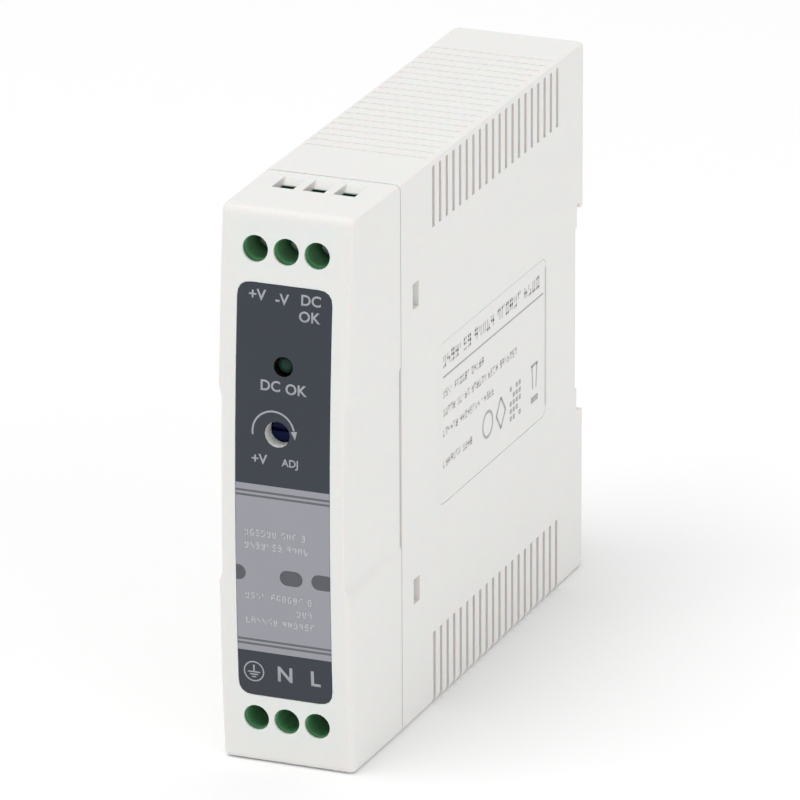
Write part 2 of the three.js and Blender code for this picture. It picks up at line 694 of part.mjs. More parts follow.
function clampCage(x, level) {
  const axis = level * SCREW_RISE;
  const z = [axis - CAGE_HALF_HEIGHT, axis + CAGE_HALF_HEIGHT];
  const outer = box([x - CAGE_HALF_WIDTH, x + CAGE_HALF_WIDTH], [CAGE_FRONT, CAGE_BACK], z);
  const inner = box(
    [x - CAGE_CLEAR, x + CAGE_CLEAR],
    [CAGE_FRONT + CAGE_WALL, CAGE_BACK - CAGE_WALL],
    [axis - CAGE_HALF_HEIGHT - 1, axis + CAGE_HALF_HEIGHT + 1],
  );
  const thread = rod("y", SHANK_RADIUS + GAP, [CAGE_FRONT - 1, CAGE_FRONT + 2], [x, axis], 12);
  return outer.subtract(inner).subtract(thread);
}

function contactPin(x, level) {
  const y = [CONTACT_FRONT, CONTACT_FRONT + CONTACT_THICK];
  const half = CAGE_CLEAR - CONTACT_GAP;
  const bar = box([x - half, x + half], y, [level * CONTACT_FOOT, level * (BLOCK_OUTER - 0.8)]);
  const tail = box(
    [x - 0.5, x + 0.5],
    [CONTACT_FRONT, BOARD_BACK + 1.2],
    [level * CONTACT_FOOT, level * (CONTACT_FOOT + 0.8)],
  );
  return bar.add(tail);
}

// Front board and what it carries

function frontBoard() {
  const z = [-BLOCK_OUTER + 0.8, BLOCK_OUTER - 0.8];
  const board = box([-FRONT_BOARD_HALF, FRONT_BOARD_HALF], [BOARD_FRONT, BOARD_BACK], z);
  const through = [BOARD_FRONT - 1, BOARD_BACK + 1];
  const cuts = [-1.27, 1.27].map((x) =>
    box([x - 0.25 - GAP, x + 0.25 + GAP], through, [LED_RISE - 0.25 - GAP, LED_RISE + 0.25 + GAP]),
  );
  for (const level of [-1, 1]) {
    const rows = [level * (CONTACT_FOOT - GAP), level * (CONTACT_FOOT + 0.8 + GAP)];
    for (const x of POLE_X) {
      cuts.push(box([x - 0.5 - GAP, x + 0.5 + GAP], through, rows));
    }
  }
  return board.subtract(union(cuts));
}

// A round lens and flange on two long leads.
function statusLed() {
  const tip = faceAt(LED_RISE) + LED_DEPTH;
  const back = tip + LED_BODY;
  const profile = [
    [0, 0],
    [LED_RADIUS * 0.7, LED_CROWN / 3],
    [LED_RADIUS, LED_CROWN],
    [LED_RADIUS, LED_BODY - 1],
    [LED_RADIUS + 0.4, LED_BODY - 1],
    [LED_RADIUS + 0.4, LED_BODY],
    [0, LED_BODY],
  ].map(([r, h]) => new THREE.Vector2(r, h));
  const lens = new THREE.LatheGeometry(profile, 16);
  lens.translate(0, tip, LED_RISE);
  const leads = [-1.27, 1.27].map((dx) =>
    box([dx - 0.25, dx + 0.25], [back - 0.2, BOARD_BACK + 1], [LED_RISE - 0.25, LED_RISE + 0.25]),
  );
  return solidOf(lens).add(union(leads));
}

const TRIM_SEAT = BOARD_FRONT - 0.1 - TRIM_HEIGHT; // front of the trimmer's body

function trimmerBody() {
  const half = TRIM_BODY / 2;
  const body = box(
    [TRIM_OFFSET - half, TRIM_OFFSET + half],
    [TRIM_SEAT, BOARD_FRONT - 0.1],
    [TRIM_RISE - half, TRIM_RISE + half],
  );
  return body.subtract(rod("y", TRIM_SHAFT + GAP + 0.4, [TRIM_SEAT - 1, TRIM_SEAT + 2], TRIM_AT));
}

function trimmerShaft() {
  const tip = FRONT + TRIM_SHAFT_DEPTH;
  const shaft = rod("y", TRIM_SHAFT, [tip, TRIM_SEAT + 0.5], TRIM_AT);
  const foot = rod("y", TRIM_SHAFT + 0.35, [TRIM_SEAT + 0.4, TRIM_SEAT + 1.7], TRIM_AT);
  const slot = box(
    [TRIM_OFFSET - TRIM_SHAFT - 1, TRIM_OFFSET + TRIM_SHAFT + 1],
    [tip - 1, tip + 0.8],
    [TRIM_RISE - 0.3, TRIM_RISE + 0.3],
  );
  return shaft.add(foot).subtract(slot);
}

// Main board and its components, all standing to the right of the board

const MAIN_BOARD_FRONT = BOARD_BACK + GAP + 1;
const MAIN_BOARD_BACK = CAVITY_BACK - 2 * GAP;
const MAIN_BOARD_LOW = BOTTOM + HOUSING_WALL + 2 * GAP;
const MAIN_BOARD_HIGH = TOP - HOUSING_WALL - 2 * GAP;
const SEATED = MAIN_BOARD_RIGHT + 0.2; // underside of a component

// A box standing on the main board: its height off the board, then its middle and size along y and z.
function standing(height, y, z, length, tall) {
  return box([SEATED, SEATED + height], [y - length / 2, y + length / 2], [z - tall / 2, z + tall / 2]);
}

// The board is notched where the cover's snap tongues reach past it.
function mainBoard() {
  const board = box(
    [MAIN_BOARD_LEFT, MAIN_BOARD_RIGHT],
    [MAIN_BOARD_FRONT, MAIN_BOARD_BACK],
    [MAIN_BOARD_LOW, MAIN_BOARD_HIGH],
  );
  const notches = [-1, 1].map((level) => {
    const middle = windowAt(level);
    const half = TONGUE_HALF + GAP;
    const along = [MAIN_BOARD_FRONT - 1, TONGUE_END + GAP];
    return box([MAIN_BOARD_LEFT - 1, MAIN_BOARD_RIGHT + 1], along, [middle - half, middle + half]);
  });
  return board.subtract(union(notches));
}

const CORE_Y = PARTING + 36;
const CORE_Z = 4;
const CORE_LENGTH = 20; // along y
const CORE_HEIGHT = 19; // along z
const CORE_THICK = 6;
const CORE_MID = SEATED + 8; // middle of the core off the board
const YOKE = 3;
const CENTRE_LEG = 5;
const COIL_LENGTH = CORE_HEIGHT - 2 * YOKE - 2 * GAP;

function transformerCore() {
  const half = CORE_THICK / 2;
  const x = [CORE_MID - half, CORE_MID + half];
  const y = [CORE_Y - CORE_LENGTH / 2, CORE_Y + CORE_LENGTH / 2];
  const body = box(x, y, [CORE_Z - CORE_HEIGHT / 2, CORE_Z + CORE_HEIGHT / 2]);
  const windows = [-1, 1].map((side) =>
    box(
      [x[0] - 1, x[1] + 1],
      [CORE_Y + (side * CENTRE_LEG) / 2, CORE_Y + side * (CORE_LENGTH / 2 - YOKE)],
      [CORE_Z - CORE_HEIGHT / 2 + YOKE, CORE_Z + CORE_HEIGHT / 2 - YOKE],
    ),
  );
  return body.subtract(union(windows));
}

// A square tube round the core's centre leg, from one distance off the leg to another.
function legTube(from, to, z0, z1) {
  const tube = (off, low, high) =>
    box(
      [CORE_MID - CORE_THICK / 2 - off, CORE_MID + CORE_THICK / 2 + off],
      [CORE_Y - CENTRE_LEG / 2 - off, CORE_Y + CENTRE_LEG / 2 + off],
      [low, high],
    );
  return tube(to, z0, z1).subtract(tube(from, z0 - 1, z1 + 1));
}

function transformerBobbin() {
  const low = CORE_Z - COIL_LENGTH / 2;
  const high = CORE_Z + COIL_LENGTH / 2;
  const widest = CORE_LENGTH / 2 - YOKE - CENTRE_LEG / 2 - GAP;
  return union([
    legTube(GAP, 1, low, high),
    legTube(GAP, widest, low, low + 1),
    legTube(GAP, widest, high - 1, high),
  ]);
}

function transformerWinding() {
  const low = CORE_Z - COIL_LENGTH / 2 + 1 + GAP;
  const high = CORE_Z + COIL_LENGTH / 2 - 1 - GAP;
  return legTube(1 + GAP, 3.8, low, high);
}

// A can lying along z with a rolled groove near its lower end.
function canCapacitor(radius, length, y, z) {
  const profile = [
    [0, 0],
    [radius - 0.4, 0],
    [radius, 0.4],
    [radius, 1.6],
    [radius - 0.5, 2],
    [radius, 2.4],
    [radius, length - 0.5],
    [radius - 0.5, length],
    [0, length],
  ].map(([r, h]) => new THREE.Vector2(r, h));
  const geometry = new THREE.LatheGeometry(profile, 16);
  geometry.rotateX(Math.PI / 2);
  return solidOf(geometry.translate(SEATED + radius, y, z - length / 2));
}

function toroid(outer, inner, thick, y, z) {
  const bevel = 1;
  const profile = [
    [inner, bevel],
    [inner + bevel, 0],
    [outer - bevel, 0],
    [outer, bevel],
    [outer, thick - bevel],
    [outer - bevel, thick],
    [inner + bevel, thick],
    [inner, thick - bevel],
    [inner, bevel],
  ].map(([r, h]) => new THREE.Vector2(r, h));
  const geometry = new THREE.LatheGeometry(profile, 16);
  geometry.rotateZ(-Math.PI / 2);
  return solidOf(geometry.translate(SEATED, y, z));
}

// A disc on edge, such as a varistor, standing off the board.
function disc(radius, thick, y, z) {
  return rod("z", radius, [z - thick / 2, z + thick / 2], [SEATED + radius, y]);
}

// A power transistor or diode: a black body that stands against its heat sink.
function powerBody(y, z) {
  return box([SEATED + 3, SEATED + 15], [y - 2.2, y + 2.2], [z - 5, z + 5]);
}

function heatSink(y, z) {
  const plate = box([SEATED, SEATED + 15.5], [y - 0.75, y + 0.75], [z - 8, z + 8]);
  const fins = [-8, 6.5].map((edge) =>
    box([SEATED, SEATED + 15.5], [y - 0.75, y + 4], [z + edge, z + edge + 1.5]),
  );
  return union([plate, ...fins]);
}

// Latch and spring

function latch() {
  const foot = BOTTOM + LATCH_FOOT;
  const flangeHalf = LATCH_HALF + LATCH_FLANGE;
  const flanges = box([-flangeHalf, flangeHalf], [LATCH_FRONT, LATCH_BACK], [foot, LATCH_STOP - GAP]);
  const hookFront = RAIL_FLANGE + RAIL_PLAY;
  const hookTop = -RAIL_HEIGHT / 2 + LATCH_GRIP;
  const shoulder = -RAIL_HEIGHT / 2 - 0.4;
  const back = BACK - GAP;
  const profile = outline([
    [LATCH_FRONT, foot],
    [back, foot, 0.8],
    [back, shoulder],
    [hookFront + 0.6, hookTop],
    [hookFront, hookTop],
    [hookFront, shoulder],
    [-GUIDE_LIP + 0.4, shoulder],
    [-GUIDE_LIP + 0.4, LATCH_STOP - GAP],
    [LATCH_FRONT, LATCH_STOP - GAP],
  ]);
  const slider = solidOf(alongX(profile, -LATCH_HALF, LATCH_HALF));
  const springBay = box(
    [-SPRING_RADIUS - 2 * GAP, SPRING_RADIUS + 2 * GAP],
    [LATCH_FRONT - 1, LATCH_FRONT + 2 * SPRING_RADIUS + 2 * GAP],
    [SPRING_BASE - GAP - PEG_THICK - 2 * GAP, SPRING_BASE + SPRING_LENGTH + GAP],
  );
  const bladeSlot = box([-2.5, 2.5], [LATCH_FRONT - 1, MOUTH], [foot + 1.6, foot + 3.4]);
  const grooves = [0, 1, 2, 3].map((i) =>
    box([-LATCH_HALF - 1, LATCH_HALF + 1], [back - 0.5, MOUTH], [foot + 6 + 2 * i, foot + 6.9 + 2 * i]),
  );
  return flanges.add(slider).subtract(union([springBay, bladeSlot, ...grooves]));
}

const SPRING_BASE = BOTTOM + PEG_RISE + GAP;
const SPRING_AXIS = LATCH_FRONT + SPRING_RADIUS;

// The spring's centre line: a helix that climbs from the peg to the latch.
class SpringLine extends THREE.Curve {
  getPoint(t, target = new THREE.Vector3()) {
    const turn = t * SPRING_TURNS * 2 * Math.PI;
    const radius = SPRING_RADIUS - SPRING_WIRE / 2;
    const climb = SPRING_WIRE / 2 + t * (SPRING_LENGTH - SPRING_WIRE);
    return target.set(radius * Math.cos(turn), SPRING_AXIS + radius * Math.sin(turn), SPRING_BASE + climb);
  }
}

function latchSpring() {
  const wire = new THREE.Shape();
  wire.absarc(0, 0, SPRING_WIRE / 2, 0, 2 * Math.PI, false);
  const geometry = new THREE.ExtrudeGeometry(wire, {
    steps: SPRING_TURNS * 10,
    curveSegments: 4,
    bevelEnabled: false,
    extrudePath: new SpringLine(),
  });
  return solidOf(geometry);
}

// Assembly

const powerSupply = new THREE.Group();

function addPiece(name, solid, finish) {
  powerSupply.add(meshOf(name, solid, finish));
}

addPiece("rear_housing", housing(), "case_plastic");
addPiece("front_cover", cover(), "case_plastic");
addPiece("front_label", frontLabel(), "label_film");
addPiece("side_label", sideLabel(), "label_paper");
addPiece("rail_latch", latch(), "latch_plastic");
addPiece("latch_spring", latchSpring(), "spring_steel");

addPiece("output_terminal_block", terminalBlock(1), "terminal_green");
addPiece("input_terminal_block", terminalBlock(-1), "terminal_green");
for (const [row, level] of [["output", 1], ["input", -1]]) {
  POLE_X.forEach((x, i) => {
    addPiece(`${row}_screw_${i + 1}`, terminalScrew(x, level), "plated_steel");
    addPiece(`${row}_clamp_${i + 1}`, clampCage(x, level), "plated_steel");
    addPiece(`${row}_contact_${i + 1}`, contactPin(x, level), "tinned_brass");
  });
}

addPiece("front_board", frontBoard(), "board_green");
addPiece("status_led", statusLed(), "led_green");
addPiece("trimmer_body", trimmerBody(), "trimmer_blue");
addPiece("trimmer_shaft", trimmerShaft(), "trimmer_blue");

addPiece("main_board", mainBoard(), "board_green");
addPiece("board_connector", standing(4, BOARD_BACK + GAP + 3, -4, 6, 26), "black_plastic");
addPiece("transformer_core", transformerCore(), "ferrite");
addPiece("transformer_bobbin", transformerBobbin(), "black_plastic");
addPiece("transformer_winding", transformerWinding(), "tape_yellow");
addPiece("bulk_capacitor", canCapacitor(6.4, 22, PARTING + 52, -26), "capacitor_sleeve");
addPiece("output_capacitor_1", canCapacitor(4, 16, PARTING + 26, 29), "capacitor_sleeve");
addPiece("output_capacitor_2", canCapacitor(4, 16, PARTING + 36, 29), "capacitor_sleeve");
addPiece("line_choke", toroid(7.5, 3.5, 9, PARTING + 34, -31), "copper_wire");
addPiece("filter_capacitor", standing(11, PARTING + 18, -35, 8, 13), "tape_yellow");
addPiece("fuse", rod("z", 2.2, [-24, -15], [SEATED + 2.2, PARTING + 18], 16), "black_plastic");
addPiece("varistor", disc(5, 3, PARTING + 20, -9), "ceramic_blue");
addPiece("inrush_thermistor", disc(4.5, 4, PARTING + 34, -17), "black_plastic");
addPiece("bridge_rectifier", standing(10, PARTING + 49, -39.4, 14, 3.6), "black_plastic");
addPiece("switch_heatsink", heatSink(PARTING + 56, 0), "heatsink");
addPiece("switch_transistor", powerBody(PARTING + 52.5, 0), "black_plastic");
addPiece("diode_heatsink", heatSink(PARTING + 53, 29), "heatsink");
addPiece("output_diode", powerBody(PARTING + 49.5, 29), "black_plastic");
addPiece("output_inductor", rod("x", 4.5, [SEATED, SEATED + 10], [PARTING + 16, 14], 20), "copper_wire");
addPiece("optocoupler", standing(3.5, PARTING + 20, 2, 6.5, 4.6), "black_plastic");

export default powerSupply;
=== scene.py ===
import json
import math

import bmesh
import bpy
from mathutils import Matrix, Vector


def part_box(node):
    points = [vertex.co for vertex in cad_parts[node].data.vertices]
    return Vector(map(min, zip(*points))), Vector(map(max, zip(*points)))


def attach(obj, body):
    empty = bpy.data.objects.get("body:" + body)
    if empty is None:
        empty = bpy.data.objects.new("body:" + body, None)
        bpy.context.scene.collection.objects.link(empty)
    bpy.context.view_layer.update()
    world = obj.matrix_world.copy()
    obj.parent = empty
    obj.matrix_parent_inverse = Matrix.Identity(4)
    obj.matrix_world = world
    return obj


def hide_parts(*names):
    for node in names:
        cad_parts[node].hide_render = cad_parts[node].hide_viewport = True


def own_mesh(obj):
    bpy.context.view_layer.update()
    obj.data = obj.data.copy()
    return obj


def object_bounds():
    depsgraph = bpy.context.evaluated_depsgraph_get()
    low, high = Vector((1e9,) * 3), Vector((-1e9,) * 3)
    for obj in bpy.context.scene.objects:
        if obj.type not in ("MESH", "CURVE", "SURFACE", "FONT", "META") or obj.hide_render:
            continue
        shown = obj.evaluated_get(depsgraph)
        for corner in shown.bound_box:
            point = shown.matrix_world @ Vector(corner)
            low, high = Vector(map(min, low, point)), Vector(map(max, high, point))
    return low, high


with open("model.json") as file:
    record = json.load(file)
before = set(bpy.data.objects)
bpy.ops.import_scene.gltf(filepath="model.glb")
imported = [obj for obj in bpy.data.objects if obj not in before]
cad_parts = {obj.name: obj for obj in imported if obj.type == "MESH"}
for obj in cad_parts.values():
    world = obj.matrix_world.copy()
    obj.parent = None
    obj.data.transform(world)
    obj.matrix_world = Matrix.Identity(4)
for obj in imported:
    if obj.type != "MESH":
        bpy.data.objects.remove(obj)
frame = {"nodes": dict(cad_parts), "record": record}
cad_low, cad_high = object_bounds()

MM = 0.001
FULL_TURN = 2 * math.pi
CENTRE = (cad_low + cad_high) / 2

# Camera

AZIMUTH = math.radians(22.07)
ELEVATION = math.radians(19.8)
ROLL = math.radians(-0.22)
DISTANCE = 1386.3 * MM
LENS_MM = 395.6
AIM_LEFT = 0.72 * MM
AIM_DOWN = 1.0 * MM


def make_camera():
    """A long lens that looks a little left of and below the middle of the object."""
    back = Vector(
        (
            math.sin(AZIMUTH) * math.cos(ELEVATION),
            -math.cos(AZIMUTH) * math.cos(ELEVATION),
            math.sin(ELEVATION),
        )
    )
    right = Vector((math.cos(AZIMUTH), math.sin(AZIMUTH), 0))
    up = back.cross(right)
    turned_right = right * math.cos(ROLL) + up * math.sin(ROLL)
    turned_up = up * math.cos(ROLL) - right * math.sin(ROLL)
    lens = bpy.data.cameras.new("camera")
    lens.lens = LENS_MM
    lens.sensor_width = 36
    lens.clip_start = 0.01
    lens.clip_end = 50
    camera = bpy.data.objects.new("camera", lens)
    turn = Matrix((turned_right, turned_up, back)).transposed().to_4x4()
    place = CENTRE + back * DISTANCE - turned_right * AIM_LEFT - turned_up * AIM_DOWN
    camera.matrix_world = Matrix.Translation(place) @ turn
    bpy.context.scene.collection.objects.link(camera)
    bpy.context.scene.camera = camera


make_camera()

# Finishes


class Value:
    """A shader number. Arithmetic on it adds Math nodes."""

    def __init__(self, finish, socket):
        self.finish = finish
        self.socket = socket

    def maths(self, operation, *others):
        sockets = dict(enumerate(others))
        made = self.finish.node("ShaderNodeMath", {"operation": operation}, sockets)
        return Value(self.finish, made.outputs[0])

    def __add__(self, other):
        return self.maths("ADD", self, other)

    __radd__ = __add__

    def __sub__(self, other):
        return self.maths("SUBTRACT", self, other)

    def __rsub__(self, other):
        return self.maths("SUBTRACT", other, self)

    def __mul__(self, other):
        return self.maths("MULTIPLY", self, other)

    __rmul__ = __mul__

    def __truediv__(self, other):
        return self.maths("DIVIDE", self, other)

    def __gt__(self, other):
        return self.maths("GREATER_THAN", self, other)

    def __lt__(self, other):
        return self.maths("LESS_THAN", self, other)

    def __abs__(self):
        return self.maths("ABSOLUTE", self)

    def wrap(self, period):
        return self.maths("FLOORED_MODULO", self, period)

    def most(self, other):
        return self.maths("MAXIMUM", self, other)

    def between(self, low, high):
        return (self > low) * (self < high)


class Finish:
    """A material with a Principled shader, read in the piece's own coordinates."""

    def __init__(self, name, colour, roughness, metallic=0.0, **constants):
        self.material = bpy.data.materials.new(name)
        self.material.use_nodes = True
        self.tree = self.material.node_tree
        self.shader = self.tree.nodes["Principled BSDF"]
        self.set("Base Color", colour)
        self.set("Roughness", roughness)
        self.set("Metallic", metallic)
        for socket, value in constants.items():
            self.set(socket.replace("_", " "), value)
        self.place = self.node("ShaderNodeTexCoord").outputs["Object"]
        split = self.node("ShaderNodeSeparateXYZ", {}, {0: self.place})
        self.x, self.y, self.z = (Value(self, split.outputs[i]) for i in range(3))

    def node(self, kind, settings=None, sockets=None):
        made = self.tree.nodes.new(kind)
        for key, value in (settings or {}).items():
            setattr(made, key, value)
        for key, value in (sockets or {}).items():
            self.join(made.inputs[key], value)
        return made

    def join(self, socket, value):
        if isinstance(value, Value):
            value = value.socket
        if isinstance(value, bpy.types.NodeSocket):
            self.tree.links.new(value, socket)
        elif socket.type == "RGBA" and len(value) == 3:
            socket.default_value = (*value, 1)
        else:
            socket.default_value = value

    def set(self, socket, value):
        self.join(self.shader.inputs[socket], value)

    def noise(self, scale, detail=2.0, stretch=(1, 1, 1)):
        """Soft noise, scale in cells a metre."""
        mapping = self.node(
            "ShaderNodeMapping", {}, {"Vector": self.place, "Scale": stretch}
        )
        made = self.node(
            "ShaderNodeTexNoise",
            {},
            {"Vector": mapping.outputs[0], "Scale": scale, "Detail": detail},
        )
        return Value(self, made.outputs["Fac"])

    def cells(self, scale):
        """Distance to the nearest of many scattered points, scale in points a metre."""
        made = self.node(
            "ShaderNodeTexVoronoi", {}, {"Vector": self.place, "Scale": scale}
        )
        return Value(self, made.outputs["Distance"])

    def blend(self, factor, a, b):
        made = self.node(
            "ShaderNodeMix", {"data_type": "RGBA"}, {0: factor, 6: a, 7: b}
        )
        return made.outputs[2]

    def bump(self, height, distance, strength=1.0):
        made = self.node(
            "ShaderNodeBump",
            {},
            {"Height": height, "Distance": distance, "Strength": strength},
        )
        self.set("Normal", made.outputs[0])


def shade(colour, factor):
    return tuple(min(1.0, c * factor) for c in colour)


def moulded(name, colour, roughness, grain=0.00002, tint=0.03, **constants):
    """Moulded plastic with a fine spark-eroded grain and a faint uneven tone."""
    made = Finish(name, colour, roughness, **constants)
    cloud = made.noise(60, 3)
    made.set("Base Color", made.blend(cloud, shade(colour, 1 - tint), shade(colour, 1 + tint)))
    speckle = made.noise(6500, 2)
    pit = made.cells(4200)
    made.set("Roughness", speckle * 0.14 + cloud * 0.05 + (roughness - 0.1))
    made.bump(speckle * 0.7 + pit * 0.5, grain)
    return made


def metal(name, colour, roughness, run=(1, 1, 1), scale=3000, grain=0.00001):
    """Plated or drawn metal with fine marks along the run and a little tarnish."""
    made = Finish(name, colour, roughness, 1.0)
    marks = made.noise(scale, 3, run)
    stain = made.noise(400, 4)
    made.set("Base Color", made.blend(stain, shade(colour, 0.82), shade(colour, 1.08)))
    made.set("Roughness", marks * 0.25 + stain * 0.12 + (roughness - 0.18))
    made.bump(marks, grain)
    return made


CASE_WHITE = (0.80, 0.795, 0.775)
case_plastic = moulded("case_plastic", CASE_WHITE, 0.5, 0.000012, 0.012)
case_plastic.set("Specular IOR Level", 0.4)
case_plastic.set("Subsurface Weight", 0.35)
case_plastic.set("Subsurface Scale", 0.0012)
latch_plastic = moulded("latch_plastic", (0.70, 0.695, 0.67), 0.45, 0.00001, 0.02)
terminal_green = moulded("terminal_green", (0.12, 0.36, 0.16), 0.38, 0.000008, 0.08)
black_plastic = moulded("black_plastic", (0.022, 0.022, 0.024), 0.42, 0.00001, 0.1)
trimmer_blue = moulded("trimmer_blue", (0.004, 0.007, 0.055), 0.5, 0.000006, 0.08)
trimmer_blue.set("Specular IOR Level", 0.12)
plated_steel = metal("plated_steel", (0.62, 0.63, 0.64), 0.34)
tinned_brass = metal("tinned_brass", (0.70, 0.67, 0.60), 0.32, (1, 0.1, 1))
spring_steel = metal("spring_steel", (0.45, 0.46, 0.48), 0.3, (0.2, 0.2, 1))
heatsink_metal = metal("heatsink_metal", (0.66, 0.67, 0.68), 0.42, (0.06, 1, 1), 2400)


def ferrite_finish():
    made = Finish("ferrite", (0.05, 0.05, 0.055), 0.6)
    grain = made.noise(2500, 5)
    made.set("Base Color", made.blend(grain, (0.035, 0.035, 0.04), (0.085, 0.085, 0.09)))
    made.set("Roughness", grain * 0.3 + 0.45)
    made.bump(grain, 0.00003)
    return made


def tape_finish():
    """Polyester tape in overlapping turns."""
    made = Finish("winding_tape", (0.62, 0.42, 0.05), 0.3, Coat_Weight=0.3)
    lap = made.z.wrap(0.0016) / 0.0016
    cloud = made.noise(500, 3)
    made.set("Base Color", made.blend(cloud, (0.55, 0.36, 0.04), (0.72, 0.50, 0.08)))
    made.set("Roughness", cloud * 0.2 + 0.22)
    made.bump(lap * 0.4 + cloud * 0.3, 0.00008)
    return made


def sleeve_finish():
    """Shrink sleeve with a paler polarity stripe."""
    made = Finish("capacitor_sleeve", (0.014, 0.018, 0.03), 0.3)
    cloud = made.noise(700, 3)
    dark = made.blend(cloud, (0.010, 0.013, 0.022), (0.022, 0.028, 0.045))
    dashes = (made.z.wrap(0.004) > 0.0014) * made.x.between(-0.0012, 0.0006)
    made.set("Base Color", made.blend(dashes, dark, (0.45, 0.46, 0.48)))
    made.set("Roughness", cloud * 0.18 + 0.22)
    made.bump(cloud, 0.00002)
    return made


def ceramic_finish():
    made = Finish("dipped_ceramic", (0.03, 0.10, 0.32), 0.3)
    ripple = made.noise(450, 3)
    made.set("Base Color", made.blend(ripple, (0.022, 0.08, 0.26), (0.04, 0.13, 0.38)))
    made.set("Roughness", ripple * 0.2 + 0.2)
    made.bump(ripple, 0.00012)
    return made


def winding_finish():
    """Enamelled wire laid side by side round a core."""
    made = Finish("enamelled_wire", (0.42, 0.16, 0.05), 0.28, 0.7)
    reach = made.noise(300, 2)
    turns = abs(made.z.wrap(0.0007) / 0.0007 - 0.5) * 2
    made.set("Base Color", made.blend(reach, (0.34, 0.12, 0.035), (0.52, 0.22, 0.08)))
    made.set("Roughness", reach * 0.2 + 0.2)
    made.bump(turns, 0.00014)
    return made


def board_finish():
    """Solder mask over copper tracks, with glass weave and tinned pads."""
    made = Finish("board_mask", (0.02, 0.14, 0.05), 0.35)
    edge = made.node(
        "ShaderNodeTexVoronoi",
        {"feature": "DISTANCE_TO_EDGE"},
        {"Vector": made.place, "Scale": 190.0},
    )
    gap = Value(made, edge.outputs["Distance"]) < 0.045
    mask = made.blend(gap, (0.018, 0.15, 0.055), (0.010, 0.075, 0.030))
    pad = made.cells(260) < 0.07
    made.set("Base Color", made.blend(pad, mask, (0.52, 0.52, 0.50)))
    made.set("Metallic", pad * 0.9)
    weave = made.noise(3200, 1)
    made.set("Roughness", weave * 0.15 + 0.28)
    made.bump((1 - gap) * 0.7 + weave * 0.3 + pad * 1.4, 0.00005)
    return made


def lens_finish():
    made = Finish("lens_green", (0.006, 0.032, 0.022), 0.25)
    made.set("Specular IOR Level", 0.2)
    cloud = made.noise(900, 2)
    made.set("Base Color", made.blend(cloud, (0.004, 0.024, 0.016), (0.009, 0.042, 0.029)))
    made.set("Roughness", cloud * 0.08 + 0.25)
    return made


ferrite = ferrite_finish()
winding_tape = tape_finish()
capacitor_sleeve = sleeve_finish()
dipped_ceramic = ceramic_finish()
enamelled_wire = winding_finish()
board_mask = board_finish()
lens_green = lens_finish()

FINISH_OF_SLOT = {
    "case_plastic": case_plastic,
    "latch_plastic": latch_plastic,
    "terminal_green": terminal_green,
    "black_plastic": black_plastic,
    "trimmer_blue": trimmer_blue,
    "plated_steel": plated_steel,
    "tinned_brass": tinned_brass,
    "spring_steel": spring_steel,
    "heatsink": heatsink_metal,
    "ferrite": ferrite,
    "tape_yellow": winding_tape,
    "capacitor_sleeve": capacitor_sleeve,
    "ceramic_blue": dipped_ceramic,
    "copper_wire": enamelled_wire,
    "board_green": board_mask,
    "led_green": lens_green,
}

# Colours and levels of the front label, levels from the middle of the rail

SLATE = (0.020, 0.028, 0.040)
SILVER = (0.305, 0.310, 0.345)
RULE_GREY = (0.115, 0.117, 0.132)
OVAL_GREY = (0.085, 0.09, 0.105)
BAND_TOP = 0.8 * MM
BAND_BOTTOM = -26.75 * MM
RULE_LEVELS = (-0.36 * MM, -1.08 * MM, -24.87 * MM, -25.58 * MM)
RULE_HALF_WIDTH = 0.18 * MM
OVAL_LEVEL = -13.9 * MM
OVAL_RADIUS = 1.25 * MM
# Middle and half of the straight part of each oval
OVALS = ((-8.0 * MM, 0.55 * MM), (1.35 * MM, 0.65 * MM), (6.6 * MM, 0.65 * MM))


def any_of(masks):
    """One mask that is on wherever one of the masks is."""
    joined = masks[0]
    for mask in masks[1:]:
        joined = joined.most(mask)
    return joined


def front_print():
    """Dark film with a silver band across it, ruled above and below, and three ovals."""
    made = Finish("front_print", SLATE, 0.42)
    x = made.x
    z = made.z
    dark = (z > BAND_TOP).most(z < BAND_BOTTOM)
    rule = any_of([abs(z - level) < RULE_HALF_WIDTH for level in RULE_LEVELS])
    cloud = made.noise(90, 3)
    silver = made.blend(cloud, shade(SILVER, 0.96), shade(SILVER, 1.05))
    slate = made.blend(cloud, shade(SLATE, 0.95), shade(SLATE, 1.06))
    up = z - OVAL_LEVEL
    insides = []
    for middle, straight in OVALS:
        along = (abs(x - middle) - straight).most(0.0)
        insides.append((along * along + up * up) < OVAL_RADIUS**2)
    colour = made.blend(rule, silver, RULE_GREY)
    colour = made.blend(any_of(insides), colour, OVAL_GREY)
    colour = made.blend(dark, colour, slate)
    made.set("Base Color", colour)
    fibre = made.noise(5200, 2)
    made.set("Roughness", fibre * 0.12 + 0.36)
    made.bump(fibre, 0.000006)
    return made


def side_print():
    """Off-white film, a shade under the case's own white."""
    made = Finish("side_print", (0.79, 0.785, 0.765), 0.42)
    fibre = made.noise(4000, 2)
    paper = made.blend(fibre, (0.775, 0.77, 0.75), (0.80, 0.795, 0.775))
    made.set("Base Color", paper)
    made.set("Roughness", fibre * 0.1 + 0.38)
    made.bump(fibre, 0.000006)
    return made


FINISH_OF_SLOT["label_film"] = front_print()
FINISH_OF_SLOT["label_paper"] = side_print()


def ink(name, colour):
    """Printing ink with a very fine grain, also used for one painted shade stroke."""
    made = Finish(name, colour, 0.5)
    made.bump(made.noise(6000, 2), 0.000004)
    return made


legend_ink = ink("legend_ink", (0.35, 0.365, 0.395))
small_ink = ink("small_ink", (0.50, 0.505, 0.54))
# side_ink_and_edge_shade also colours the painted shade along the side label's rear end
side_ink_and_edge_shade = ink("side_ink_and_edge_shade", (0.585, 0.58, 0.565))
mark_ink = ink("mark_ink", (0.43, 0.43, 0.425))

# Pieces

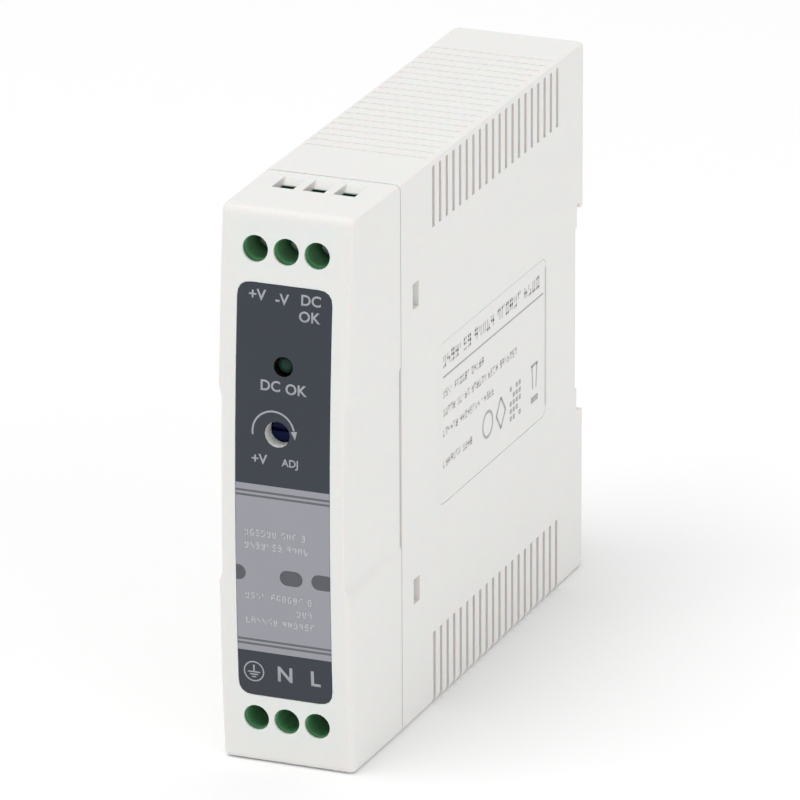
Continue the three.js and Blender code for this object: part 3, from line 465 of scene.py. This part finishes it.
SLOT_OF_NODE = {s["node"]: s["material_slot"] for s in frame["record"]["subparts"]}
BODY_OF_NODE = {
    node: body
    for body, nodes in frame["record"]["behaviour"]["bodies"].items()
    for node in nodes
}

CASE_EDGE = 0.14 * MM
LABEL_EDGE = 0.03 * MM
LATCH_EDGE = 0.2 * MM
PART_EDGE = 0.12 * MM
WIRE_EDGE = 0.02 * MM

# Edges that turn by more degrees than this are rounded
SHARP = 20
SHARP_ON_ROUND_PARTS = 32
SHARP_ON_COILS = 60


def add_piece(name, mesh, finish, body, *nodes):
    """Turns a bmesh into a piece that rides on a body and stands for some nodes."""
    data = bpy.data.meshes.new(name)
    mesh.to_mesh(data)
    mesh.free()
    for face in data.polygons:
        face.use_smooth = True
    data.materials.append(finish.material)
    piece = bpy.data.objects.new(name, data)
    bpy.context.scene.collection.objects.link(piece)
    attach(piece, body)
    if nodes:
        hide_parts(*nodes)
    return piece


def even_normals(piece):
    """Keeps broad faces flat while their rounded edges stay smooth."""
    weighted = piece.modifiers.new("even_normals", "WEIGHTED_NORMAL")
    weighted.mode = "FACE_AREA"
    weighted.weight = 90
    return piece


def merged_copy(node):
    """The node's own mesh with its corners joined and its flat faces made whole."""
    mesh = bmesh.new()
    mesh.from_mesh(frame["nodes"][node].data)
    bmesh.ops.remove_doubles(mesh, verts=mesh.verts, dist=0.004 * MM)
    bmesh.ops.dissolve_limit(
        mesh, angle_limit=math.radians(0.6), verts=mesh.verts, edges=mesh.edges
    )
    return mesh


def round_edges(mesh, width, segments, sharper_than):
    sharp = [
        e
        for e in mesh.edges
        if len(e.link_faces) == 2 and e.calc_face_angle(0) > math.radians(sharper_than)
    ]
    bmesh.ops.bevel(
        mesh,
        geom=sharp,
        offset=width,
        offset_type="OFFSET",
        affect="EDGES",
        segments=segments,
        profile=0.5,
        material=-1,
        clamp_overlap=True,
    )


def stand_in(node, mesh):
    """The piece for one node, in its finish and on its body."""
    finish = FINISH_OF_SLOT[SLOT_OF_NODE[node]]
    return even_normals(add_piece(node + "_piece", mesh, finish, BODY_OF_NODE[node], node))


def softened(node, width, segments=2, sharper_than=SHARP):
    """The node with its edges rounded by a small radius."""
    mesh = merged_copy(node)
    round_edges(mesh, width, segments, sharper_than)
    return stand_in(node, mesh)


def turned(profile, axis, centre, steps=48):
    """A round solid from points given as distance from the axis and height along it.

    The profile starts and ends on the axis, or closes on itself.
    """
    mesh = bmesh.new()
    points = [mesh.verts.new((r, 0, h)) for r, h in profile]
    edges = [mesh.edges.new(pair) for pair in zip(points, points[1:])]
    bmesh.ops.spin(
        mesh,
        geom=points + edges,
        cent=(0, 0, 0),
        axis=(0, 0, 1),
        angle=FULL_TURN,
        steps=steps,
        use_merge=True,
    )
    bmesh.ops.remove_doubles(mesh, verts=mesh.verts, dist=0.002 * MM)
    bmesh.ops.recalc_face_normals(mesh, faces=mesh.faces)
    turn = {
        "x": Matrix.Rotation(math.pi / 2, 4, "Y"),
        "z": Matrix.Identity(4),
    }[axis]
    bmesh.ops.transform(mesh, matrix=Matrix.Translation(centre) @ turn, verts=mesh.verts)
    return mesh


# The case, its labels and its latch

softened("rear_housing", CASE_EDGE)
softened("front_cover", CASE_EDGE)
softened("front_label", LABEL_EDGE, 1)
softened("side_label", LABEL_EDGE, 1)
softened("rail_latch", LATCH_EDGE)

# Round parts and the axis each is turned about

ROUND = {
    "bulk_capacitor": "z",
    "output_capacitor_1": "z",
    "output_capacitor_2": "z",
    "fuse": "z",
    "varistor": "z",
    "inrush_thermistor": "z",
    "line_choke": "x",
    "output_inductor": "x",
}


def can(radius, length):
    """A can with a rolled groove near its base and a crimped, slightly sunk top."""
    return [
        (0, 0),
        (radius - 0.5 * MM, 0),
        (radius - 0.15 * MM, 0.15 * MM),
        (radius, 0.5 * MM),
        (radius, 1.5 * MM),
        (radius - 0.3 * MM, 1.75 * MM),
        (radius - 0.45 * MM, 2.0 * MM),
        (radius - 0.3 * MM, 2.25 * MM),
        (radius, 2.5 * MM),
        (radius, length - 0.45 * MM),
        (radius - 0.2 * MM, length - 0.1 * MM),
        (radius - 0.5 * MM, length),
        (radius - 0.9 * MM, length - 0.05 * MM),
        (radius - 1.1 * MM, length - 0.25 * MM),
        (0, length - 0.25 * MM),
    ]


def tube_fuse(radius, length):
    """A cartridge with a cap at each end."""
    inner = radius - 0.25 * MM
    cap = 1.9 * MM
    return [
        (0, 0),
        (radius - 0.3 * MM, 0),
        (radius, 0.3 * MM),
        (radius, cap),
        (inner, cap + 0.15 * MM),
        (inner, length - cap - 0.15 * MM),
        (radius, length - cap),
        (radius, length - 0.3 * MM),
        (radius - 0.3 * MM, length),
        (0, length),
    ]


def lens_disc(radius, length):
    """A plain disc or drum, rounded off at both rims."""
    rim = 0.9 * MM
    turns = [math.radians(a) for a in (0, 22.5, 45, 67.5, 90)]
    low = [(radius - rim + rim * math.sin(t), rim - rim * math.cos(t)) for t in turns]
    high = [(r, length - h) for r, h in reversed(low)]
    return [(0, 0), *low, *high, (0, length)]


def wound_ring(outer, inner, length):
    """A wound ring with full, rounded corners. The profile closes on itself."""
    round_off = 1.3 * MM
    points = []
    for middle_r, middle_h, start in (
        (outer - round_off, round_off, -90),
        (outer - round_off, length - round_off, 0),
        (inner + round_off, length - round_off, 90),
        (inner + round_off, round_off, 180),
    ):
        for step in range(5):
            t = math.radians(start + 22.5 * step)
            r = middle_r + round_off * math.cos(t)
            points.append((r, middle_h + round_off * math.sin(t)))
    return points + points[:1]


CHOKE_BORE_RADIUS = 3.5 * MM


def round_piece(node, axis):
    """A round part turned afresh inside the box of its node."""
    low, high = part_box(node)
    index = "xyz".index(axis)
    across = [i for i in range(3) if i != index]
    radius = max(high[i] - low[i] for i in across) / 2
    length = high[index] - low[index]
    foot = (low + high) / 2
    foot[index] = low[index]
    if "capacitor" in node:
        profile = can(radius, length)
    elif node == "fuse":
        profile = tube_fuse(radius, length)
    elif node == "line_choke":
        profile = wound_ring(radius, CHOKE_BORE_RADIUS, length)
    else:
        profile = lens_disc(radius, length)
    return stand_in(node, turned(profile, axis, foot))


for node, axis in ROUND.items():
    round_piece(node, axis)

# Every other node, softened as it is

SMOOTH_SIDED = ("screw", "led", "trimmer_shaft")
OUTSIDE = {"rear_housing", "front_cover", "front_label", "side_label", "rail_latch"}
HAVE_THEIR_OWN = {*OUTSIDE, "latch_spring", *ROUND}
for node in frame["nodes"]:
    if node not in HAVE_THEIR_OWN:
        smooth = any(word in node for word in SMOOTH_SIDED)
        softened(node, PART_EDGE, 2, SHARP_ON_ROUND_PARTS if smooth else SHARP)

spring = softened("latch_spring", WIRE_EDGE, 1, SHARP_ON_COILS)
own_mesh(spring)

# Print on the front label

LABEL_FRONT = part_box("front_label")[0].y
BULGE_RADIUS = 449.98 * MM
BULGE_MIDDLE = -7.6 * MM
PRINT_PROUD = 0.008 * MM
PRINT_THICK = 0.006 * MM
WORDS_HALF_THICK = 0.004 * MM
FONT_HALF_THICK = 0.004
FONT_SPREAD = 0.022
WELD = 0.0005 * MM


def label_face(z):
    """Depth of the label's bulged front at a height."""
    return LABEL_FRONT + BULGE_RADIUS - math.sqrt(BULGE_RADIUS**2 - (z - BULGE_MIDDLE) ** 2)


def lay_on_label(mesh):
    """Moves a flat drawing in x and z onto the label's curved face."""
    for v in mesh.verts:
        v.co.y += label_face(v.co.z) - PRINT_PROUD
    return mesh


def drawing(words, height):
    """Text as a flat mesh that faces the front, its letters the given height."""
    curve = bpy.data.curves.new(words, "FONT")
    curve.body = words
    curve.align_x = "CENTER"
    curve.align_y = "CENTER"
    curve.extrude = FONT_HALF_THICK
    curve.offset = FONT_SPREAD
    curve.resolution_u = 4
    holder = bpy.data.objects.new(words, curve)
    bpy.context.scene.collection.objects.link(holder)
    bpy.context.view_layer.update()
    shown = holder.evaluated_get(bpy.context.evaluated_depsgraph_get())
    data = bpy.data.meshes.new_from_object(shown)
    bpy.data.objects.remove(holder)
    mesh = bmesh.new()
    mesh.from_mesh(data)
    bpy.data.meshes.remove(data)
    tall = max(v.co.y for v in mesh.verts) - min(v.co.y for v in mesh.verts)
    size = height / tall
    upright = Matrix.Rotation(math.pi / 2, 4, "X")
    sized = Matrix.Diagonal((size, size, WORDS_HALF_THICK / FONT_HALF_THICK, 1))
    bmesh.ops.transform(mesh, matrix=upright @ sized, verts=mesh.verts)
    bmesh.ops.remove_doubles(mesh, verts=mesh.verts, dist=WELD)
    return mesh


def print_words(words, x, z, height, stretch):
    """One legend on the front label, named after its words and its level."""
    mesh = drawing(words, height)
    bmesh.ops.scale(mesh, vec=(stretch, 1, 1), verts=mesh.verts)
    bmesh.ops.translate(mesh, vec=(x, 0, z), verts=mesh.verts)
    name = "print_" + words.replace("+", "plus").replace("-", "minus").replace(" ", "_")
    add_piece(f"{name}_{round(z / MM)}", lay_on_label(mesh), legend_ink, "case")


def stroke(mesh, a, b, width):
    """A flat bar between two (x, z) points."""
    a, b = Vector(a), Vector(b)
    along = (b - a).normalized()
    across = Vector((-along.y, along.x)) * width / 2
    corners = [a + across, b + across, b - across, a - across]
    mesh.faces.new([mesh.verts.new((c.x, 0, c.y)) for c in corners])


def arc(mesh, centre, radius, width, start, sweep, steps=40):
    """A flat ring segment in x and z, from a start angle through a sweep."""
    ends = [
        mesh.verts.new(
            (centre[0] + r * math.cos(start), 0, centre[1] + r * math.sin(start))
        )
        for r in (radius - width / 2, radius + width / 2)
    ]
    edge = mesh.edges.new(ends)
    bmesh.ops.spin(
        mesh,
        geom=ends + [edge],
        cent=(centre[0], 0, centre[1]),
        axis=(0, -1, 0),
        angle=sweep,
        steps=steps,
        use_merge=abs(sweep) >= FULL_TURN,
    )


def thicken(mesh):
    """Gives a flat drawing the thickness of a layer of ink."""
    bmesh.ops.remove_doubles(mesh, verts=mesh.verts, dist=WELD)
    flat = bmesh.ops.extrude_face_region(mesh, geom=mesh.faces[:])
    lifted = [g for g in flat["geom"] if isinstance(g, bmesh.types.BMVert)]
    bmesh.ops.translate(mesh, vec=(0, -PRINT_THICK, 0), verts=lifted)
    bmesh.ops.recalc_face_normals(mesh, faces=mesh.faces)
    return mesh


# Words, their middle in x and z and their height in mm, and how far they are stretched

LEGENDS = (
    ("+V", -4.55, 30.9, 1.75, 1.0),
    ("-V", -0.45, 30.6, 1.75, 1.0),
    ("DC", 4.3, 30.9, 1.75, 1.0),
    ("OK", 4.1, 28.3, 1.75, 1.0),
    ("DC", -2.1, 16.8, 1.75, 1.0),
    ("OK", 2.1, 16.6, 1.75, 1.0),
    ("+V", -3.85, 4.9, 1.6, 1.0),
    ("ADJ", 1.3, 4.8, 1.6, 1.0),
    ("N", 0.0, -30.2, 2.5, 1.05),
    ("L", 5.0, -30.2, 2.5, 1.05),
)
for words, x, z, height, stretch in LEGENDS:
    print_words(words, x * MM, z * MM, height * MM, stretch)


def adjust_mark():
    """The arc over the trimmer, with an arrowhead at its right end."""
    mesh = bmesh.new()
    centre = Vector((-1.5 * MM, 9.4 * MM))
    radius = 3.45 * MM
    arc(mesh, centre, radius, 0.3 * MM, math.radians(190), math.radians(-178))
    tip = centre + Vector((radius + 0.15 * MM, -0.7 * MM))
    barbs = [tip + Vector((-0.75 * MM, 1.25 * MM)), tip + Vector((0.3 * MM, 1.4 * MM))]
    mesh.faces.new([mesh.verts.new((p.x, 0, p.y)) for p in (tip, *barbs)])
    return mesh


def earth_mark():
    """The earth sign in its ring."""
    mesh = bmesh.new()
    x = -5.2 * MM
    z = -30.2 * MM
    pen = 0.22 * MM
    arc(mesh, (x, z), 1.6 * MM, pen, 0, FULL_TURN, 48)
    stroke(mesh, (x, z + 1.1 * MM), (x, z - 0.1 * MM), 0.28 * MM)
    for drop, half in ((0.1, 1.05), (0.5, 0.7), (0.9, 0.35)):
        level = z - drop * MM
        stroke(mesh, (x - half * MM, level), (x + half * MM, level), pen)
    return mesh


add_piece("print_adjust_arc", lay_on_label(thicken(adjust_mark())), legend_ink, "case")
add_piece("print_earth", lay_on_label(thicken(earth_mark())), legend_ink, "case")


def small_words(mesh, x0, x1, z, height, seed):
    """One row of little strokes that pass for small print without being letters.

    Six bits of a running number choose the strokes of each sign.
    """
    wide = height * 0.56
    pen = height * 0.2
    low = z - height / 2 + pen / 2
    high = z + height / 2 - pen / 2
    x = x0
    signs = 0
    word_length = 4 + seed % 4
    state = seed * 7919 + 13
    while x + wide < x1:
        state = (state * 1103515245 + 12345) % 2147483648
        bits = state >> 12
        left = x + pen / 2
        right = x + wide - pen / 2
        stroke(mesh, (left, low if bits & 1 else z), (left, high), pen)
        if bits & 6:
            stroke(mesh, (right, low), (right, high if bits & 2 else z), pen)
        for bit, level in ((8, high), (16, z), (32, low)):
            if bits & bit:
                stroke(mesh, (x, level), (x + wide, level), pen)
        x += wide + height * 0.24
        signs += 1
        if signs == word_length:
            x += height * 0.5
            signs = 0
            word_length = 3 + (bits >> 6) % 6


# Level, left end and right end in mm of each row on the silver band

BAND_ROWS = (
    (-7.1, -6.3, 4.6),
    (-9.2, -6.3, 4.8),
    (-17.5, -6.3, 5.6),
    (-19.6, 2.2, 5.6),
    (-21.6, -6.3, 5.6),
)


def small_lines():
    mesh = bmesh.new()
    for seed, (level, left, right) in enumerate(BAND_ROWS, 2):
        small_words(mesh, left * MM, right * MM, level * MM, 1.15 * MM, seed)
    return mesh


add_piece("print_small_lines", lay_on_label(thicken(small_lines())), small_ink, "case")

# Print on the side label and painted shade along its rear end, x running back from the label's
# front end

SIDE_LOW, SIDE_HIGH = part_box("side_label")
PRINT_START = SIDE_LOW.y + 1.7 * MM
TITLE_LENGTH = 41.8 * MM
RULE_LENGTH = 43.2 * MM
# Level and length in mm of each row under the title
SIDE_ROWS = ((4.6, 17.4), (1.5, 32.0), (-1.85, 23.2), (-7.0, 12.9))
MARKS_LEVEL = -6.7 * MM


def lay_on_side(mesh):
    """Turns a flat drawing in x and z so that it lies on the case's right side."""
    lift = SIDE_HIGH.x + 0.004 * MM
    turn = Matrix(((0, -1, 0, lift), (1, 0, 0, 0), (0, 0, 1, 0), (0, 0, 0, 1)))
    bmesh.ops.transform(mesh, matrix=turn, verts=mesh.verts)
    return mesh


def side_lines():
    """A tall row as a title and four rows of small print."""
    mesh = bmesh.new()
    small_words(mesh, PRINT_START, PRINT_START + TITLE_LENGTH, 10.0 * MM, 2.2 * MM, 3)
    for seed, (level, length) in enumerate(SIDE_ROWS, 4):
        end = PRINT_START + length * MM
        small_words(mesh, PRINT_START, end, level * MM, 1.35 * MM, seed)
    return mesh


def side_rule():
    """The line under the title."""
    mesh = bmesh.new()
    level = 7.4 * MM
    stroke(mesh, (PRINT_START, level), (PRINT_START + RULE_LENGTH, level), 0.3 * MM)
    return mesh


def side_edge_shade():
    """Painted shade: a grey stroke along the label's rear end, standing in for the thin shadow
    at its edge.
    """
    mesh = bmesh.new()
    end = SIDE_HIGH.y - 0.35 * MM
    stroke(mesh, (end, SIDE_LOW.z + 1.6 * MM), (end, SIDE_HIGH.z - 1.6 * MM), 0.4 * MM)
    return mesh


def side_marks():
    """Four plain shapes: a ring, a diamond, a dotted square and a cup with a bar."""
    mesh = bmesh.new()
    pen = 0.5 * MM
    z = MARKS_LEVEL

    ring_x = SIDE_LOW.y + 20.7 * MM
    arc(mesh, (ring_x, z), 2.1 * MM, pen, 0, FULL_TURN)

    x = SIDE_LOW.y + 26.4 * MM
    tips = [(x, z + 2.6 * MM), (x + 2 * MM, z), (x, z - 2.6 * MM), (x - 2 * MM, z)]
    for a, b in zip(tips, tips[1:] + tips[:1]):
        stroke(mesh, a, b, pen)

    dots_x = SIDE_LOW.y + 30.3 * MM
    for column in range(4):
        for row in range(5):
            if (column * 3 + row * 2) % 5 != 1:
                left = dots_x + column * 1.3 * MM
                level = z + (row - 2) * 1.25 * MM
                stroke(mesh, (left, level), (left + 0.85 * MM, level), 0.8 * MM)

    # The cup's rim, its two sides and the bar under it
    cup = Vector((SIDE_LOW.y + 41.0 * MM, -5.6 * MM))
    for start, end, width in (
        ((-1.3, 2.2), (1.5, 2.2), 0.5),
        ((-1.0, 2.2), (-0.6, -1.8), 0.4),
        ((1.2, 2.2), (0.8, -1.8), 0.4),
        ((-1.4, -3.6), (1.6, -3.6), 1.0),
    ):
        stroke(mesh, cup + Vector(start) * MM, cup + Vector(end) * MM, width * MM)
    return mesh


add_piece("print_side_lines", lay_on_side(thicken(side_lines())), side_ink_and_edge_shade, "case")
add_piece("print_side_rule", lay_on_side(thicken(side_rule())), mark_ink, "case")
# Painted shade along the side label's rear edge, drawn as a grey stroke
add_piece("side_edge_painted_shade", lay_on_side(thicken(side_edge_shade())), side_ink_and_edge_shade, "case")
add_piece("print_side_marks", lay_on_side(thicken(side_marks())), mark_ink, "case")

# Floor and light


def make_floor():
    mesh = bmesh.new()
    bmesh.ops.create_grid(mesh, x_segments=8, y_segments=8, size=6)
    bmesh.ops.translate(mesh, vec=(0, 0, cad_low.z - 0.02 * MM), verts=mesh.verts)
    data = bpy.data.meshes.new("floor")
    mesh.to_mesh(data)
    mesh.free()
    pale = Finish("pale_floor", (0.95, 0.95, 0.95), 0.9)
    data.materials.append(pale.material)
    floor = bpy.data.objects.new("floor", data)
    bpy.context.scene.collection.objects.link(floor)


def make_light(name, power, size, place):
    """A square lamp at a place from the middle of the object, turned to face it."""
    lamp = bpy.data.lights.new(name, "AREA")
    lamp.energy = power
    lamp.size = size
    holder = bpy.data.objects.new(name, lamp)
    holder.location = CENTRE + Vector(place)
    holder.rotation_euler = (-Vector(place)).to_track_quat("-Z", "Y").to_euler()
    bpy.context.scene.collection.objects.link(holder)


def make_sky(strength):
    world = bpy.data.worlds.new("studio")
    world.use_nodes = True
    background = world.node_tree.nodes["Background"]
    background.inputs["Color"].default_value = (1, 1, 1, 1)
    background.inputs["Strength"].default_value = strength
    bpy.context.scene.world = world


make_floor()
make_sky(0.75)
make_light("key", 27, 1.7, (-0.6, -0.76, 2.6))
make_light("fill", 2.4, 1.2, (1.1, -0.5, 0.5))
bpy.context.scene.view_settings.view_transform = "Standard"
